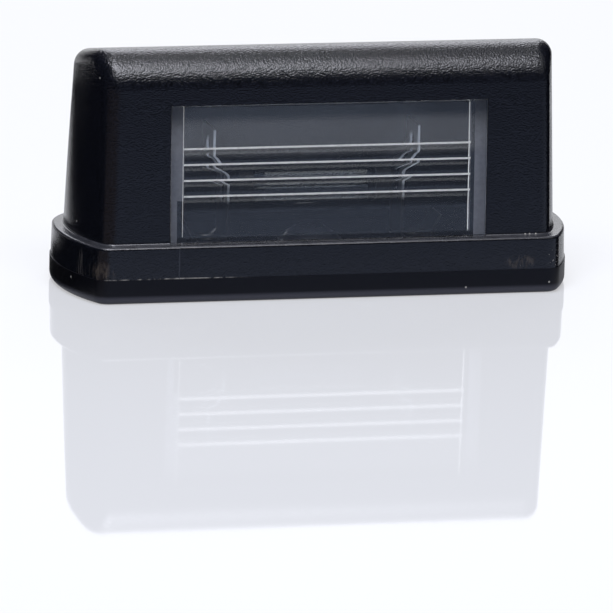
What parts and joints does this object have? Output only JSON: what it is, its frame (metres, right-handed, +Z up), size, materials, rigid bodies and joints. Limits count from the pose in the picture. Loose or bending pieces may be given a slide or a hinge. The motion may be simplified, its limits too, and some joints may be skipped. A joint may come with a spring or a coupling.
{
  "type": "number plate lamp",
  "caption": "Number plate lamp: a black hood with bowed ends and a roof that falls to the rear, on a foot flange and rubber gasket, with a clear ridged window in front and a festoon bulb on sprung contacts inside.",
  "frame": {"origin": "middle of the foot, on the surface it stands on", "axes": "+X along the lamp, the window faces -Y, +Z up from the foot"},
  "size_m": [0.1044, 0.0374, 0.0496],
  "materials": {
    "cover_abs": "fine moulded grain",
    "lens_polycarbonate": "clear polished",
    "base_abs": "moulded",
    "gasket_rubber": "moulded matt",
    "contact_plated_brass": "nickel plated",
    "bulb_glass": "clear blown",
    "bulb_cap_plated": "nickel plated",
    "filament_tungsten": "drawn wire"
  },
  "bodies": {
    "root": {"cover": "cover_abs", "lens": "lens_polycarbonate", "base_plate": "base_abs", "base_gasket": "gasket_rubber", "contact_left": "contact_plated_brass", "contact_right": "contact_plated_brass", "contact_rivets": "contact_plated_brass", "bulb_glass": "bulb_glass", "bulb_cap_left": "bulb_cap_plated", "bulb_cap_right": "bulb_cap_plated", "bulb_filament": "filament_tungsten", "cable_grommet": "gasket_rubber"}
  },
  "joints": []
}
